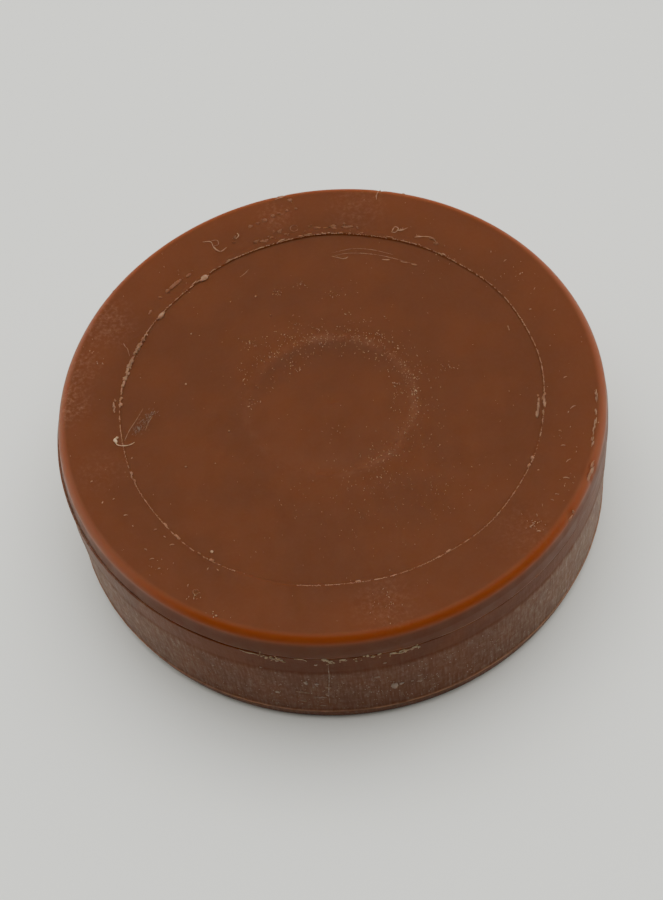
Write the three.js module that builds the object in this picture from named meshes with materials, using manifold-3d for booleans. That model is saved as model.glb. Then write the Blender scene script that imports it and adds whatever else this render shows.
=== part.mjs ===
// A round cake of shoe polish: brown wax cast in two pours, turned out of its tin.
//
// Millimetres, +Z up. The origin is the centre of the flat base. -Y is the front and +X the right side.
//
// The first pour became the disc with the display face. It shrank and set a little off centre before the
// second pour was added, so the body stands out past it as a narrow ledge, and the joint between the two
// runs round the side as a groove. The ledge is widest at the left and narrowest at the right.

import * as THREE from 'three'
import Module from 'manifold-3d'
import { mergeVertices } from 'three/addons/utils/BufferGeometryUtils.js'

const wasm = await Module()
wasm.setup()

// ---- driving dimensions ----------------------------------------------------------------------------

const DIAMETER = 80
const HEIGHT = 23.7
const FACETS = 112

const RADIUS = DIAMETER / 2
const OVERLAP = 2 // how far each pour's blank runs past the joint before it is cut

// The joint between the pours: a plane that is a little higher at the left (-X).
const JOINT_HEIGHT = 19.1
const JOINT_TILT = THREE.MathUtils.degToRad(0.9)
const JOINT_GAP = 0.3

// The disc: its centre is off to the right, and its rim is a little smaller than the body. Its wall leans
// out from the rim to the joint.
const DISC_SHIFT = new THREE.Vector3(0.2, -0.2, 0)
const DISC_RADIUS = 39.4
const DISC_DRAFT = 0.1
const RIM_ROUND = 1.2
const RIM_STEPS = 6

// The display face: a sunk panel inside a thin line of flash, with a faint circle in its middle.
const PANEL_RADIUS = 30.5
const PANEL_CENTRE = new THREE.Vector3(0.35, -0.55, 0)
const PANEL_DEPTH = 0.25
const CIRCLE_RADIUS = 12
const CIRCLE_CENTRE = new THREE.Vector3(0.2, -0.9, 0)
const CIRCLE_RISE = 0.1
const CIRCLE_HALF_WIDTH = 0.9

// The flash: a thin raised line, broken off at the front left, with a few lumps left on it.
const FLASH_WIDTH = 0.35
const FLASH_RISE = 0.2
const FLASH_GAP = { from: 238, to: 254 }
const FLASH_STEPS = 112
const FLASH_ROOT = 0.75 // how far the flash runs down into the wax
const FLASH_WANDER = { slow: 0.12, quick: 0.07 }
const LUMP_STRETCH = new THREE.Vector3(1, 1.1, 0.6)
const LUMP_OUT = 0.11
const LUMP_SINK = 0.07
const LUMPS = [
  { angle: 122, size: 0.45 },
  { angle: 139, size: 0.5 },
  { angle: 170, size: 0.45 },
  { angle: 183, size: 0.5 },
  { angle: 217, size: 0.4 },
  { angle: 229, size: 0.4 },
  { angle: 295, size: 0.3 },
  { angle: 330, size: 0.35 },
  { angle: 350, size: 0.55 }
]

// Chips in the rim, at the front right.
const CHIPS = [
  { angle: -39.3, size: 0.8 },
  { angle: -28, size: 0.6 }
]
const CHIP_STRETCH = new THREE.Vector3(1, 1, 0.8)
const CHIP_OUT = 0.1

// The body: a proud lower band, a bead above the foot and an edge that turns in to the flat base.
const FOOT_RADIUS = 38.4
const FOOT_HEIGHT = 1.9
const WALL_TAPER = 1
const BEAD_RISE = 0.2
const BEAD_HALF_HEIGHT = 0.35
const BAND_TOP = 14.2
const BAND_RISE = 0.2
const BAND_BEVEL = 0.5

const COLOURS = { disc: 0x7a4129, body: 0x6b4433 }

// ---- helpers ---------------------------------------------------------------------------------------

function asSolid (geometry) {
  const bare = geometry.clone()
  bare.deleteAttribute('normal')
  bare.deleteAttribute('uv')
  const merged = mergeVertices(bare, 1e-4)
  return new wasm.Manifold(new wasm.Mesh({
    numProp: 3,
    vertProperties: Float32Array.from(merged.attributes.position.array),
    triVerts: Uint32Array.from(merged.index.array)
  }))
}

function asGeometry (solid) {
  const mesh = solid.getMesh()
  const geometry = new THREE.BufferGeometry()
  geometry.setAttribute('position', new THREE.BufferAttribute(mesh.vertProperties, 3))
  geometry.setIndex(new THREE.BufferAttribute(mesh.triVerts, 1))
  geometry.computeVertexNormals()
  return geometry
}

// Turns a profile of [radius, height] points about the Z axis.
function lathe (profile, centre = new THREE.Vector3()) {
  const points = profile.map(([radius, height]) => new THREE.Vector2(radius, height))
  const geometry = new THREE.LatheGeometry(points, FACETS)
  geometry.rotateX(Math.PI / 2)
  geometry.translate(centre.x, centre.y, centre.z)
  return geometry
}

function onCircle (centre, radius, degrees, height) {
  const angle = THREE.MathUtils.degToRad(degrees)
  return new THREE.Vector3(
    centre.x + radius * Math.cos(angle),
    centre.y + radius * Math.sin(angle),
    height
  )
}

function ball (radius, stretch, place) {
  const geometry = new THREE.SphereGeometry(radius, 12, 8)
  geometry.scale(stretch.x, stretch.y, stretch.z)
  geometry.translate(place.x, place.y, place.z)
  return geometry
}

// The space above or below the slanting joint, less half of the gap.
function sideOfJoint (direction) {
  const depth = 2 * HEIGHT
  const slab = new THREE.BoxGeometry(3 * RADIUS, 3 * RADIUS, depth)
  slab.translate(0, 0, direction * (depth + JOINT_GAP) / 2)
  slab.rotateY(JOINT_TILT)
  slab.translate(0, 0, JOINT_HEIGHT)
  return asSolid(slab)
}

// ---- the disc --------------------------------------------------------------------------------------

function discBlank () {
  const low = JOINT_HEIGHT - RADIUS * Math.tan(JOINT_TILT) - OVERLAP
  const roundStart = HEIGHT - RIM_ROUND
  const profile = [
    [0, low],
    [DISC_RADIUS + DISC_DRAFT * (roundStart - low), low]
  ]
  for (let step = 0; step <= RIM_STEPS; step += 1) {
    const turn = (step / RIM_STEPS) * Math.PI / 2
    profile.push([
      DISC_RADIUS - RIM_ROUND * (1 - Math.cos(turn)),
      roundStart + RIM_ROUND * Math.sin(turn)
    ])
  }
  profile.push([0, HEIGHT])
  return asSolid(lathe(profile, DISC_SHIFT))
}

// What is taken out of the top for the sunk panel.
function panelCut () {
  const floor = HEIGHT - PANEL_DEPTH
  return asSolid(lathe([
    [0, floor],
    [PANEL_RADIUS - PANEL_DEPTH, floor],
    [PANEL_RADIUS, HEIGHT],
    [PANEL_RADIUS, HEIGHT + OVERLAP],
    [0, HEIGHT + OVERLAP]
  ], PANEL_CENTRE))
}

// The centre circle is a very low, soft ridge on the panel: the top of a ring that is mostly sunk in it.
function circleRidge () {
  const floor = HEIGHT - PANEL_DEPTH
  return asSolid(lathe([
    [CIRCLE_RADIUS - 2 * CIRCLE_HALF_WIDTH, floor - CIRCLE_RISE],
    [CIRCLE_RADIUS, floor - 3 * CIRCLE_RISE],
    [CIRCLE_RADIUS + 2 * CIRCLE_HALF_WIDTH, floor - CIRCLE_RISE],
    [CIRCLE_RADIUS, floor + CIRCLE_RISE],
    [CIRCLE_RADIUS - 2 * CIRCLE_HALF_WIDTH, floor - CIRCLE_RISE]
  ], CIRCLE_CENTRE))
}

// The flash follows the panel's edge and wanders a little either side of it.
class FlashPath extends THREE.Curve {
  getPoint (t, target = new THREE.Vector3()) {
    const start = FLASH_GAP.to
    const sweep = 360 - (FLASH_GAP.to - FLASH_GAP.from)
    const degrees = start + t * sweep
    const angle = THREE.MathUtils.degToRad(degrees)
    const wander = FLASH_WANDER.slow * Math.sin(5 * angle) + FLASH_WANDER.quick * Math.sin(13 * angle + 1)
    return target.copy(onCircle(PANEL_CENTRE, PANEL_RADIUS + wander, degrees, HEIGHT))
  }
}

function flash () {
  const half = FLASH_WIDTH / 2
  const section = new THREE.Shape([
    new THREE.Vector2(-FLASH_RISE, 0),
    new THREE.Vector2(0, -half),
    new THREE.Vector2(FLASH_ROOT, -half),
    new THREE.Vector2(FLASH_ROOT, half),
    new THREE.Vector2(0, half)
  ])
  return asSolid(new THREE.ExtrudeGeometry(section, {
    steps: FLASH_STEPS,
    extrudePath: new FlashPath()
  }))
}

function lump ({ angle, size }) {
  const place = onCircle(PANEL_CENTRE, PANEL_RADIUS + LUMP_OUT, angle, HEIGHT - LUMP_SINK)
  return asSolid(ball(size, LUMP_STRETCH, place))
}

function chip ({ angle, size }) {
  const place = onCircle(DISC_SHIFT, DISC_RADIUS + CHIP_OUT, angle, HEIGHT - RIM_ROUND / 3)
  return asSolid(ball(size, CHIP_STRETCH, place))
}

function upperPour () {
  let solid = discBlank().subtract(panelCut()).add(circleRidge()).add(flash())
  for (const detail of LUMPS) {
    solid = solid.add(lump(detail))
  }
  for (const detail of CHIPS) {
    solid = solid.subtract(chip(detail))
  }
  return asGeometry(solid.intersect(sideOfJoint(1)))
}

// ---- the body --------------------------------------------------------------------------------------

// The wall leans out a little, and reaches the full radius at the joint.
function wallRadius (height) {
  return RADIUS - WALL_TAPER * (JOINT_HEIGHT - height) / (JOINT_HEIGHT - FOOT_HEIGHT)
}

function lowerPour () {
  const beadHeight = FOOT_HEIGHT + BEAD_HALF_HEIGHT
  const beadTop = FOOT_HEIGHT + 2 * BEAD_HALF_HEIGHT
  const shoulder = BAND_TOP + BAND_BEVEL
  const top = JOINT_HEIGHT + RADIUS * Math.tan(JOINT_TILT) + OVERLAP
  const blank = asSolid(lathe([
    [0, 0],
    [FOOT_RADIUS, 0],
    [wallRadius(FOOT_HEIGHT), FOOT_HEIGHT],
    [wallRadius(beadHeight) + BEAD_RISE, beadHeight],
    [wallRadius(beadTop), beadTop],
    [wallRadius(BAND_TOP) + BAND_RISE / 2, BAND_TOP],
    [wallRadius(shoulder) - BAND_RISE / 2, shoulder],
    [RADIUS, JOINT_HEIGHT],
    [RADIUS, top],
    [0, top]
  ]))
  return asGeometry(blank.intersect(sideOfJoint(-1)))
}

// ---- the cake --------------------------------------------------------------------------------------

function wax (colour, roughness) {
  return new THREE.MeshStandardMaterial({ color: colour, roughness, metalness: 0, flatShading: true })
}

function piece (name, geometry, material) {
  const mesh = new THREE.Mesh(geometry, material)
  mesh.name = name
  return mesh
}

const cake = new THREE.Group()
cake.add(piece('upper_pour', upperPour(), wax(COLOURS.disc, 0.45)))
cake.add(piece('lower_pour', lowerPour(), wax(COLOURS.body, 0.6)))

export default cake
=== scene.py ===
"""A round cake of shoe polish: brown wax in two pours, with mould flash, crumbs, a shaving and pale bloom.

Metres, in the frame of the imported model: the origin is the centre of the base, +Z up, -Y the front.
"""

import math
import random

import bpy
from mathutils import Matrix, Quaternion, Vector, noise


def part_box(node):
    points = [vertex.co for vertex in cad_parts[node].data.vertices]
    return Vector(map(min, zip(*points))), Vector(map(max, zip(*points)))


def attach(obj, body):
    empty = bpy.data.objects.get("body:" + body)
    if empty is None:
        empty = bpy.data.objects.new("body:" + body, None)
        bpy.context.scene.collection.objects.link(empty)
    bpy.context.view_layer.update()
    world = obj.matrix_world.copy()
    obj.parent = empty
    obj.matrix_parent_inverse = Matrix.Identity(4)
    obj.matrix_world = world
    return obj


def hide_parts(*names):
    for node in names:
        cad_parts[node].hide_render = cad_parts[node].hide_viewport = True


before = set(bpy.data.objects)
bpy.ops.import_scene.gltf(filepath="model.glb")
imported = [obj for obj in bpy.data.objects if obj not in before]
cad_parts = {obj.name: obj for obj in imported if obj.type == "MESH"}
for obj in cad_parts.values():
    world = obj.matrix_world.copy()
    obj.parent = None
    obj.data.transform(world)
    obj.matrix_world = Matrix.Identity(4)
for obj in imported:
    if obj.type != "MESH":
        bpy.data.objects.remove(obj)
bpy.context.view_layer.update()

MM = 0.001
ORIGIN = Vector((0, 0, 0))

# ---- sizes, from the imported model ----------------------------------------

disc_low, disc_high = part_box("upper_pour")
body_low, body_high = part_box("lower_pour")

LUMP_RISE = 0.26 * MM  # how far the highest lump of flash stands over the display face
FACE = disc_high.z - LUMP_RISE
DISC_CENTRE = Vector((0.2, -0.2, 0)) * MM
DISC_RADIUS = (disc_high.x - disc_low.x) / 2 - 0.25 * MM  # at the rim
DISC_DRAFT = 0.1  # the disc's wall leans out by this much of its depth
RIM_ROUND = 1.25 * MM
BODY_RADIUS = (body_high.x - body_low.x) / 2
EDGE_SETBACK = 0.06 * MM  # room for the crumbs that stand out of the joint
FOOT_RADIUS = 0.963 * BODY_RADIUS
FOOT_HEIGHT = 1.9 * MM
FOOT_LEAN = 1.0 * MM  # how much narrower the wall is at the foot than at the joint

JOINT_TILT = math.radians(0.9)
JOINT_GAP = 0.3 * MM
JOINT_HEIGHT = body_high.z - BODY_RADIUS * math.tan(JOINT_TILT) + JOINT_GAP / 2
OPEN_MIDDLE = 225  # the joint gapes on this side of the front, in degrees about Z
OPEN_HALF = 17
OPEN_FADE = 10
TUCK_DEPTH = 0.18 * MM  # how far the disc's wall draws in at the gaping joint
TUCK_START = 0.02 * MM
TUCK_HEIGHT = 0.16 * MM
FLARE_HEIGHT = 2.4 * MM  # where the disc leans out to the body, it starts this far over the joint
LEDGE_MIDDLE = 200  # the ledge is widest here, in degrees about Z
LEDGE_SPREAD = 60
LEDGE_LEAST = 0.1  # its least share of that width
HIDDEN_SINK = 0.5 * MM  # the disc's hidden foot draws in by this much
HIDDEN_DEPTH = 0.3 * MM  # and does so within this depth below the joint

PANEL_CENTRE = Vector((0.35, -0.55, 0)) * MM
PANEL_RADIUS = 30.5 * MM
PANEL_DEPTH = 0.25 * MM
PANEL_WANDER = (0.12 * MM, 0.07 * MM)  # the slow and the quick wander of its edge
STEP_INSIDE = 0.28 * MM  # the step down to the panel runs from here inside its edge
STEP_OUTSIDE = 0.05 * MM
STEP_RAGGED = 0.05 * MM
STEP_LEAST = 0.4  # the step's share of the full depth, and how much more it has at the back
STEP_MORE = 0.5
BACK_MIDDLE = 88
BACK_SPREAD = 55
LIP_RISE = 0.06 * MM  # the soft lip outside the step, at the back
LIP_WIDTH = 0.5 * MM
CIRCLE_CENTRE = Vector((0.2, -0.9, 0)) * MM
CIRCLE_RADIUS = 12.0 * MM
CIRCLE_RISE = 0.07 * MM
CIRCLE_WIDTH = 0.7 * MM
CIRCLE_WORN = 0.75  # how much of the ridge is worn away at its faintest, at the left
CIRCLE_WORN_MIDDLE = 195
CIRCLE_WORN_SPREAD = 50
CIRCLE_HOLLOW = 0.03 * MM
CIRCLE_SLOPE = 2 * MM

FACE_DROP = 0.03 * MM  # keeps the uneven face below its highest level
SWELLS = (  # the soft unevenness of cast wax: height, grain and seed
    (0.035 * MM, 9 * MM, 5),
    (0.012 * MM, 2.2 * MM, 7),
)

BAND_TOP = 14.2 * MM
BAND_RISE = 0.1 * MM
BAND_EDGE = (0.1 * MM, 0.9 * MM)  # how far below and over its top the band's edge slopes
BAND_GRAIN = 0.03 * MM  # how much rougher the band is than the wall over it
BAND_FADE = 0.8 * MM
WALL_GRAIN = 0.012 * MM
WALL_SWELL = 0.03 * MM
BEAD_HEIGHT = 2.6 * MM
BEAD_RISE = 0.2 * MM
BEAD_WIDTH = 0.28 * MM
FOOT_CURVE = 0.8
EDGE_SAG = 0.15 * MM  # how far the body's top edge rounds down
EDGE_ROUND = 0.2 * MM

SPOKES = 900  # points round each ring of the two skins


# ---- small helpers -------------------------------------------------------

def smooth(value, low, high):
    """0 below low, 1 above high and a smooth change between them."""
    t = min(max((value - low) / (high - low), 0.0), 1.0)
    return t * t * (3 - 2 * t)


def hill(value, middle, width):
    """A smooth bump of height 1."""
    return math.exp(-((value - middle) / width) ** 2)


def turn_gap(angle, middle):
    """The angle from middle, in degrees, from 0 to 180."""
    return abs((math.degrees(angle) - middle + 180) % 360 - 180)


def rough(x, y, z, grain, seed=0.0):
    """Smooth noise from about -1 to 1, with features about one grain across."""
    return noise.noise(Vector((x / grain + seed, y / grain - seed, z / grain + 2 * seed)))


def make_object(name, points, faces, material):
    mesh = bpy.data.meshes.new(name)
    mesh.from_pydata(points, [], faces)
    mesh.validate()
    mesh.update()
    mesh.polygons.foreach_set("use_smooth", [True] * len(mesh.polygons))
    mesh.materials.append(material)
    obj = bpy.data.objects.new(name, mesh)
    bpy.context.scene.collection.objects.link(obj)
    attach(obj, "root")
    return obj


def skin_faces(rings, spokes):
    """The faces of a closed skin: a point at the bottom, rings of points above it and a point at the top."""
    last = 1 + rings * spokes
    faces = []
    for spoke in range(spokes):
        after = (spoke + 1) % spokes
        faces.append((0, 1 + after, 1 + spoke))
        for low in range(1, last - spokes, spokes):
            high = low + spokes
            faces.append((low + spoke, low + after, high + after, high + spoke))
        faces.append((last - spokes + spoke, last - spokes + after, last))
    return faces


def turned(stations, place):
    """A closed skin about Z. Each station is a kind and a value; the first and the last are on the axis."""
    points = [place(*stations[0], 0.0)]
    for kind, value in stations[1:-1]:
        for spoke in range(SPOKES):
            points.append(place(kind, value, 2 * math.pi * spoke / SPOKES))
    points.append(place(*stations[-1], 0.0))
    return points, skin_faces(len(stations) - 2, SPOKES)


def steps(start, end, pitch):
    """Evenly spaced values from start to end, about one pitch apart, with both ends."""
    count = max(1, round(abs(end - start) / pitch))
    return [start + (end - start) * k / count for k in range(count + 1)]


# ---- the shape of the wax ------------------------------------------------

def joint_height(x):
    """The joint between the pours is a little higher at the left."""
    return JOINT_HEIGHT - x * math.tan(JOINT_TILT)


def panel_edge(angle):
    """The sunk panel's radius, which wanders a little."""
    slow, quick = PANEL_WANDER
    return PANEL_RADIUS + slow * math.sin(5 * angle) + quick * math.sin(13 * angle + 1)


def panel_rise(x, y):
    """The face's height at the panel: down inside its step, and up at the lip round it."""
    from_panel = Vector((x - PANEL_CENTRE.x, y - PANEL_CENTRE.y))
    radius = from_panel.length
    angle = math.atan2(from_panel.y, from_panel.x)
    edge = panel_edge(angle)
    ragged = STEP_RAGGED * rough(x, y, 0, 1.1 * MM)
    inside = 1 - smooth(radius + ragged, edge - STEP_INSIDE, edge + STEP_OUTSIDE)
    back = hill(turn_gap(angle, BACK_MIDDLE), 0, BACK_SPREAD)
    depth = PANEL_DEPTH * (STEP_LEAST + STEP_MORE * back)
    lip = LIP_RISE * back * hill(radius, edge + LIP_WIDTH, LIP_WIDTH) * (1 + rough(x, y, 0, 1.5 * MM, 3))
    return lip - depth * inside


def circle_rise(x, y):
    """The face's height at the centre circle: a low ridge round a faint hollow."""
    out = math.hypot(x - CIRCLE_CENTRE.x, y - CIRCLE_CENTRE.y)
    turn = math.atan2(y - CIRCLE_CENTRE.y, x - CIRCLE_CENTRE.x)
    left = 1 - CIRCLE_WORN * hill(turn_gap(turn, CIRCLE_WORN_MIDDLE), 0, CIRCLE_WORN_SPREAD)
    ridge = CIRCLE_RISE * left * hill(out, CIRCLE_RADIUS, CIRCLE_WIDTH)
    return ridge - CIRCLE_HOLLOW * (1 - smooth(out, CIRCLE_RADIUS - CIRCLE_SLOPE, CIRCLE_RADIUS))


def top_height(x, y):
    """The display face: outer ring, sunk panel, centre circle and the soft unevenness of cast wax."""
    height = FACE - FACE_DROP + panel_rise(x, y) + circle_rise(x, y)
    for rise, grain, seed in SWELLS:
        height += rise * rough(x, y, 0, grain, seed)
    return height


def opened(angle):
    """1 where the joint gapes, at the front left, and 0 where the pours ran together."""
    return 1 - smooth(turn_gap(angle, OPEN_MIDDLE), OPEN_HALF, OPEN_HALF + OPEN_FADE)


def ledge(angle):
    """How far the disc stands back from the body: most at the left, least at the right."""
    return LEDGE_LEAST + (1 - LEDGE_LEAST) * hill(turn_gap(angle, LEDGE_MIDDLE), 0, LEDGE_SPREAD)


def disc_point(radius, height, angle):
    """A point at this radius from the disc's own centre."""
    return DISC_CENTRE.x + radius * math.cos(angle), DISC_CENTRE.y + radius * math.sin(angle), height


RIM_START = FACE - RIM_ROUND
DISC_FOOT = JOINT_HEIGHT - 1.2 * MM
WALL_BUMP = 0.02 * MM
RIM_WEAR = 0.12  # how much the rim's rounding varies
CHIP_LEVEL = FACE - 0.6 * MM
CHIPS = (  # bites out of the rim: angle in degrees, half width in degrees, depth and half height in mm
    (-39.1, 1.3, 0.16, 0.5),
    (-26.9, 1.1, 0.3, 0.5),
    (-29.2, 0.8, 0.25, 0.5),
    (94.3, 1.2, 0.12, 0.4),
    (71.8, 0.6, 0.15, 0.5),
)


def chipped(height, angle):
    """How much the chips take off the radius of the rim."""
    lost = 0.0
    for middle, half_width, depth, half_height in CHIPS:
        across = hill(turn_gap(angle, middle), 0, half_width)
        lost += depth * MM * across * hill(height, CHIP_LEVEL, half_height * MM)
    return lost


def disc_wall(height, angle):
    """The radius of the disc's wall about its own centre, from the joint up to the rim."""
    flush = BODY_RADIUS - EDGE_SETBACK - DISC_CENTRE.x * math.cos(angle) - DISC_CENTRE.y * math.sin(angle)
    plain = min(DISC_RADIUS + DISC_DRAFT * (RIM_START - height), flush)
    over = height - joint_height(DISC_CENTRE.x + plain * math.cos(angle))
    flare = (1 - ledge(angle)) * (1 - smooth(over, 0, FLARE_HEIGHT))
    tuck = opened(angle) * TUCK_DEPTH * (1 - smooth(over, TUCK_START, TUCK_HEIGHT))
    sunk = HIDDEN_SINK * smooth(-over, 0, HIDDEN_DEPTH)
    return plain + flare * (flush - plain) - tuck - sunk - chipped(height, angle)


def disc_skin_point(kind, value, angle):
    """kind is floor, wall, rim or face: value is the radius, the height, the turn or the radius."""
    if kind == "floor":
        return disc_point(value, DISC_FOOT, angle)
    if kind == "wall":
        wall = disc_wall(value, angle)
        x, y, _ = disc_point(wall, value, angle)
        bump = WALL_BUMP * rough(x, y, value, 2.5 * MM, 11)
        return disc_point(wall + bump, value, angle)
    if kind == "rim":
        base = disc_wall(RIM_START, angle)
        wear = rough(math.cos(angle) * BODY_RADIUS, math.sin(angle) * BODY_RADIUS, 0, 7 * MM, 13)
        size = RIM_ROUND * (1 + RIM_WEAR * wear)
        level = RIM_START + (FACE - RIM_START) * math.sin(value)
        out = base - size * (1 - math.cos(value)) - chipped(level, angle)
        x, y, _ = disc_point(out, 0, angle)
        top = top_height(x, y)
        return x, y, RIM_START + (top - RIM_START) * math.sin(value)
    x, y, _ = disc_point(value, 0, angle)
    return x, y, top_height(x, y)


def make_disc(material):
    """The fine skin of the upper pour."""
    rim_in = DISC_RADIUS - 1.25 * RIM_ROUND
    stations = [("floor", r) for r in (0.0, 0.5 * BODY_RADIUS, disc_wall(DISC_FOOT, 0) - 3 * MM)]
    stations += [("wall", h) for h in steps(DISC_FOOT, RIM_START, 0.16 * MM)]
    stations += [("rim", t) for t in steps(0.12, math.pi / 2, 0.13)]
    stations += [("face", r) for r in steps(rim_in, PANEL_RADIUS + 1.3 * MM, 0.45 * MM)]
    stations += [("face", r) for r in steps(PANEL_RADIUS + 1.2 * MM, PANEL_RADIUS - 1.3 * MM, 0.08 * MM)]
    stations += [("face", r) for r in steps(PANEL_RADIUS - 1.5 * MM, 0.4 * MM, 0.4 * MM)]
    stations += [("face", 0.0)]
    points, faces = turned(stations, disc_skin_point)
    disc = make_object("display_disc", points, faces, material)
    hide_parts("upper_pour")


def body_wall(height):
    """The radius of the body's wall, with the proud lower band and the bead over the foot."""
    share = (JOINT_HEIGHT - height) / (JOINT_HEIGHT - FOOT_HEIGHT)
    radius = BODY_RADIUS - EDGE_SETBACK - FOOT_LEAN * share
    below, over = BAND_EDGE
    radius += BAND_RISE * (1 - smooth(height, BAND_TOP - below, BAND_TOP + over))
    return radius + BEAD_RISE * hill(height, BEAD_HEIGHT, BEAD_WIDTH)


def body_skin_point(kind, value, angle):
    """kind is base, foot, wall or ledge: value is the radius, the height, the height or the radius."""
    cos, sin = math.cos(angle), math.sin(angle)
    if kind == "base":
        return value * cos, value * sin, 0.0
    if kind == "foot":
        share = value / FOOT_HEIGHT
        radius = FOOT_RADIUS + (body_wall(FOOT_HEIGHT) - FOOT_RADIUS) * share ** FOOT_CURVE
        return radius * cos, radius * sin, value
    top = joint_height(BODY_RADIUS * cos)
    if kind == "wall":
        height = FOOT_HEIGHT + (top - EDGE_SAG - FOOT_HEIGHT) * value
        radius = body_wall(height)
        band = 1 - smooth(height, BAND_TOP, BAND_TOP + BAND_FADE)
        x, y = radius * cos, radius * sin
        radius += WALL_SWELL * rough(x, y, height, 5 * MM, 17)
        radius += (WALL_GRAIN + BAND_GRAIN * band) * rough(x, y, height, 1.3 * MM, 19)
        radius = min(radius, BODY_RADIUS)
        return radius * cos, radius * sin, height
    edge = body_wall(top) - value
    sag = EDGE_SAG * (1 - min(value / EDGE_ROUND, 1)) ** 2
    return edge * cos, edge * sin, top - sag


def make_body(material):
    """The fine skin of the lower pour."""
    stations = [("base", 0.0)]
    stations += [("base", r) for r in steps(0.2 * FOOT_RADIUS, FOOT_RADIUS - 0.2 * MM, 4 * MM)]
    stations += [("foot", h) for h in steps(0.0, FOOT_HEIGHT, 0.2 * MM)]
    stations += [("wall", s) for s in steps(0.004, 1.0, 0.012)]
    stations += [("ledge", d) for d in steps(0.05 * MM, 1.5 * MM, 0.1 * MM)]
    stations += [("ledge", d) for d in steps(4 * MM, 0.97 * BODY_RADIUS, 6 * MM)]
    stations += [("ledge", body_wall(JOINT_HEIGHT))]
    points, faces = turned(stations, body_skin_point)
    body = make_object("cake_body", points, faces, material)
    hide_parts("lower_pour")


# ---- loose and raised bits -----------------------------------------------

class Heap:
    """Many small closed bits that become one object, kept inside the CAD's size."""

    def __init__(self):
        self.points = []
        self.faces = []

    def add(self, points, faces):
        start = len(self.points)
        margin = 0.01 * MM
        for point in points:
            shrink = max(math.hypot(point.x, point.y) / (BODY_RADIUS - margin), 1.0)
            self.points.append((point.x / shrink, point.y / shrink, min(point.z, disc_high.z - margin)))
        self.faces += [tuple(start + i for i in face) for face in faces]

    def build(self, name, material):
        make_object(name, self.points, self.faces, material)


def unit_ball(rows, columns):
    """A ball of radius 1 as points and faces."""
    points = [Vector((0, 0, -1))]
    for row in range(1, rows):
        tip = math.pi * row / rows
        out = math.sin(tip)
        for column in range(columns):
            turn = 2 * math.pi * column / columns
            points.append(Vector((out * math.cos(turn), out * math.sin(turn), -math.cos(tip))))
    points.append(Vector((0, 0, 1)))
    return points, skin_faces(rows - 1, columns)


BLOB = unit_ball(8, 12)
FLAKE = unit_ball(4, 6)
BIT_GRAIN = 1.7
BIT_SEED = 900  # makes each bit's lumps differ with its place


def add_bit(heap, shape, place, axes, size, lumpiness=0.35):
    """A lumpy bit at place. axes is a 3x3 matrix, and size is its half lengths along those axes, in mm."""
    points = []
    for p in shape[0]:
        swell = (1 + lumpiness * noise.noise(p * BIT_GRAIN + place * BIT_SEED)) * MM
        corner = Vector((p.x * size[0] * swell, p.y * size[1] * swell, p.z * size[2] * swell))
        points.append(place + axes @ corner)
    heap.add(points, shape[1])


def flat_axes(degrees):
    """Axes for a bit that lies on the display face, turned about Z."""
    return Matrix.Rotation(math.radians(degrees), 3, "Z")


def wall_axes(azimuth):
    """Axes for a bit on the side: first along the wall, then up, then out."""
    angle = math.radians(azimuth - 90)
    return Matrix((
        (-math.sin(angle), 0, math.cos(angle)),
        (math.cos(angle), 0, math.sin(angle)),
        (0, 1, 0),
    ))


def on_face(x, y, lift=0.0):
    """The place on the display face at x, y, in mm."""
    return Vector((x * MM, y * MM, top_height(x * MM, y * MM) + lift * MM))


def around(centre, degrees, radius):
    """x and y, in mm, at an angle and a radius in mm from centre."""
    angle = math.radians(degrees)
    return centre.x / MM + radius * math.cos(angle), centre.y / MM + radius * math.sin(angle)


def on_ring(degrees, inward=0.0):
    """The place on the flash round the panel, or this far inward of it in mm."""
    radius = panel_edge(math.radians(degrees)) / MM - inward
    return on_face(*around(PANEL_CENTRE, degrees, radius))


def on_wall(azimuth, height, lift=0.0):
    """The place on the side that is azimuth degrees right of the front, at a height in mm."""
    angle = math.radians(azimuth - 90)
    radius = body_wall(height * MM) + lift * MM
    return Vector((radius * math.cos(angle), radius * math.sin(angle), height * MM))


def upward(place):
    return Vector((0, 0, 1))


def outward(place):
    return Vector((place.x, place.y, 0)).normalized()


def line_through(places, pitch):
    """Points along a smooth line through places, about one pitch apart."""
    ends = [2 * places[0] - places[1]] + places + [2 * places[-1] - places[-2]]
    points = []
    for a, b, c, d in zip(ends, ends[1:], ends[2:], ends[3:]):
        count = max(1, round((c - b).length / pitch))
        for k in range(count):
            t = k / count
            bend = (2 * a - 5 * b + 4 * c - d) + t * (3 * b - a - 3 * c + d)
            points.append(b + 0.5 * t * ((c - a) + t * bend))
    return points + [places[-1]]


CORNERS = 7  # of a thread's section
CORD_PITCH = 0.16 * MM
CORD_GRAIN = 2600
CORD_TIP = 0.02  # keeps a thread's ends from tapering to nothing
CORD_TAPER = 0.3


def tube_faces(rings):
    """The faces of a closed tube whose points go round one ring of CORNERS after another."""
    faces = [tuple(reversed(range(CORNERS))), tuple(range((rings - 1) * CORNERS, rings * CORNERS))]
    for start in range(0, (rings - 1) * CORNERS, CORNERS):
        for corner in range(CORNERS):
            a, b = start + corner, start + (corner + 1) % CORNERS
            faces.append((a, b, b + CORNERS, a + CORNERS))
    return faces


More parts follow.
